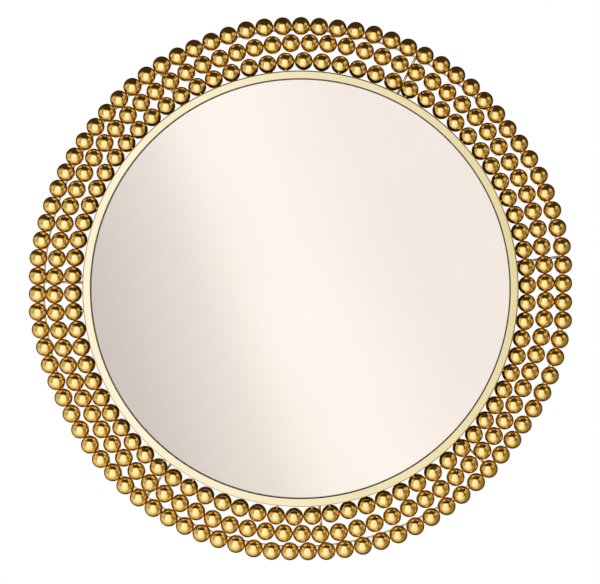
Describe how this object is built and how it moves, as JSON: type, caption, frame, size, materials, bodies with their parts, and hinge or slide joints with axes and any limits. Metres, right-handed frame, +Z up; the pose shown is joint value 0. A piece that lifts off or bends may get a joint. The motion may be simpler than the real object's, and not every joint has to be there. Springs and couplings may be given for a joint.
{
  "type": "girandole mirror",
  "caption": "Round flat wall mirror in a slim metal rim, with a surround of concentric rings of metal balls on wire, and swinging D-rings behind to hang it by.",
  "frame": {"origin": "centre of the mirror on the plane of the wall, which the rear edge of the rim touches", "axes": "+Z up, the glass faces -Y, +Y points into the wall, +X to the right as the front is seen"},
  "size_m": [0.7724, 0.0297, 0.7724],
  "materials": {
    "gold_balls": "polished warm gold plating",
    "gold_wire": "polished warm gold plating on wire and rod",
    "champagne_rim": "satin pale champagne, faintly brushed round the rim",
    "silvered_glass": "clear silvered float glass",
    "foam_sheet": "white foam sheet",
    "fibreboard": "raw medium density fibreboard",
    "zinc_steel": "bright zinc plating"
  },
  "bodies": {
    "mirror": {"inner_bead_ring": "gold_balls", "middle_bead_ring": "gold_balls", "outer_bead_ring": "gold_balls", "rim_frame": "champagne_rim", "back_hoop": "gold_wire", "spoke_1": "gold_wire", "spoke_2": "gold_wire", "spoke_3": "gold_wire", "spoke_4": "gold_wire", "spoke_5": "gold_wire", "spoke_6": "gold_wire", "spoke_7": "gold_wire", "mirror_glass": "silvered_glass", "backing_pad": "foam_sheet", "backing_board": "fibreboard", "retaining_tab_1": "champagne_rim", "retaining_tab_2": "champagne_rim", "retaining_tab_3": "champagne_rim", "retaining_tab_4": "champagne_rim", "retaining_tab_5": "champagne_rim", "retaining_tab_6": "champagne_rim", "retaining_tab_7": "champagne_rim", "retaining_tab_8": "champagne_rim", "tab_screw_1": "zinc_steel", "tab_screw_2": "zinc_steel", "tab_screw_3": "zinc_steel", "tab_screw_4": "zinc_steel", "tab_screw_5": "zinc_steel", "tab_screw_6": "zinc_steel", "tab_screw_7": "zinc_steel", "tab_screw_8": "zinc_steel", "hanger_plate_left": "zinc_steel", "hanger_plate_right": "zinc_steel", "hanger_screw_left_1": "zinc_steel", "hanger_screw_left_2": "zinc_steel", "hanger_screw_right_1": "zinc_steel", "hanger_screw_right_2": "zinc_steel"},
    "d_ring_left": {"d_ring_left": "zinc_steel"},
    "d_ring_right": {"d_ring_right": "zinc_steel"}
  },
  "joints": [
    {"name": "left_ring_swing", "type": "hinge", "parent": "mirror", "child": "d_ring_left", "pos_m": [-0.2, -0.007, 0.15], "axis": [1, 0, 0], "range_deg": [0, 185]},
    {"name": "right_ring_swing", "type": "hinge", "parent": "mirror", "child": "d_ring_right", "pos_m": [0.2, -0.007, 0.15], "axis": [1, 0, 0], "range_deg": [0, 185]}
  ]
}
